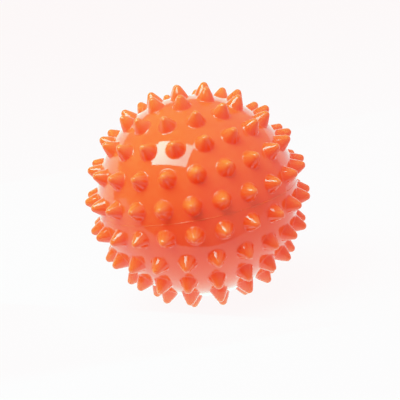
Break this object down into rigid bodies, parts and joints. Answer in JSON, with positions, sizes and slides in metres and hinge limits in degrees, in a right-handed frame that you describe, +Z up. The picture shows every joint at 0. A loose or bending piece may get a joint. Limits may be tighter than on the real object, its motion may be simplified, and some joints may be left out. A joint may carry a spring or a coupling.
{
  "type": "massage ball",
  "caption": "Hollow soft PVC massage ball with moulded conical spikes, a welded equator seam and a blow-up valve with a pull-out plug in one pole.",
  "frame": {"origin": "the ball's centre, on the seam plane", "axes": "+Z up through the pole spike, square to the seam plane; the valve is in the -Z pole; X and Y lie in the seam plane"},
  "size_m": [0.089, 0.0888, 0.0882],
  "materials": {
    "shell_pvc": "glossy, slightly translucent coral orange PVC",
    "weld_pvc": "glossy coral orange weld bead",
    "valve_pvc": "satin coral orange PVC",
    "plug_pvc": "satin, paler coral orange PVC"
  },
  "bodies": {
    "ball": {"upper_shell": "shell_pvc", "lower_shell": "shell_pvc", "seam_weld": "weld_pvc", "valve_insert": "valve_pvc"},
    "plug": {"valve_plug": "plug_pvc"}
  },
  "joints": [
    {"name": "valve_plug_pull", "type": "slide", "parent": "ball", "child": "plug", "axis": [0, 0, -1], "range_m": [0, 0.02]}
  ]
}
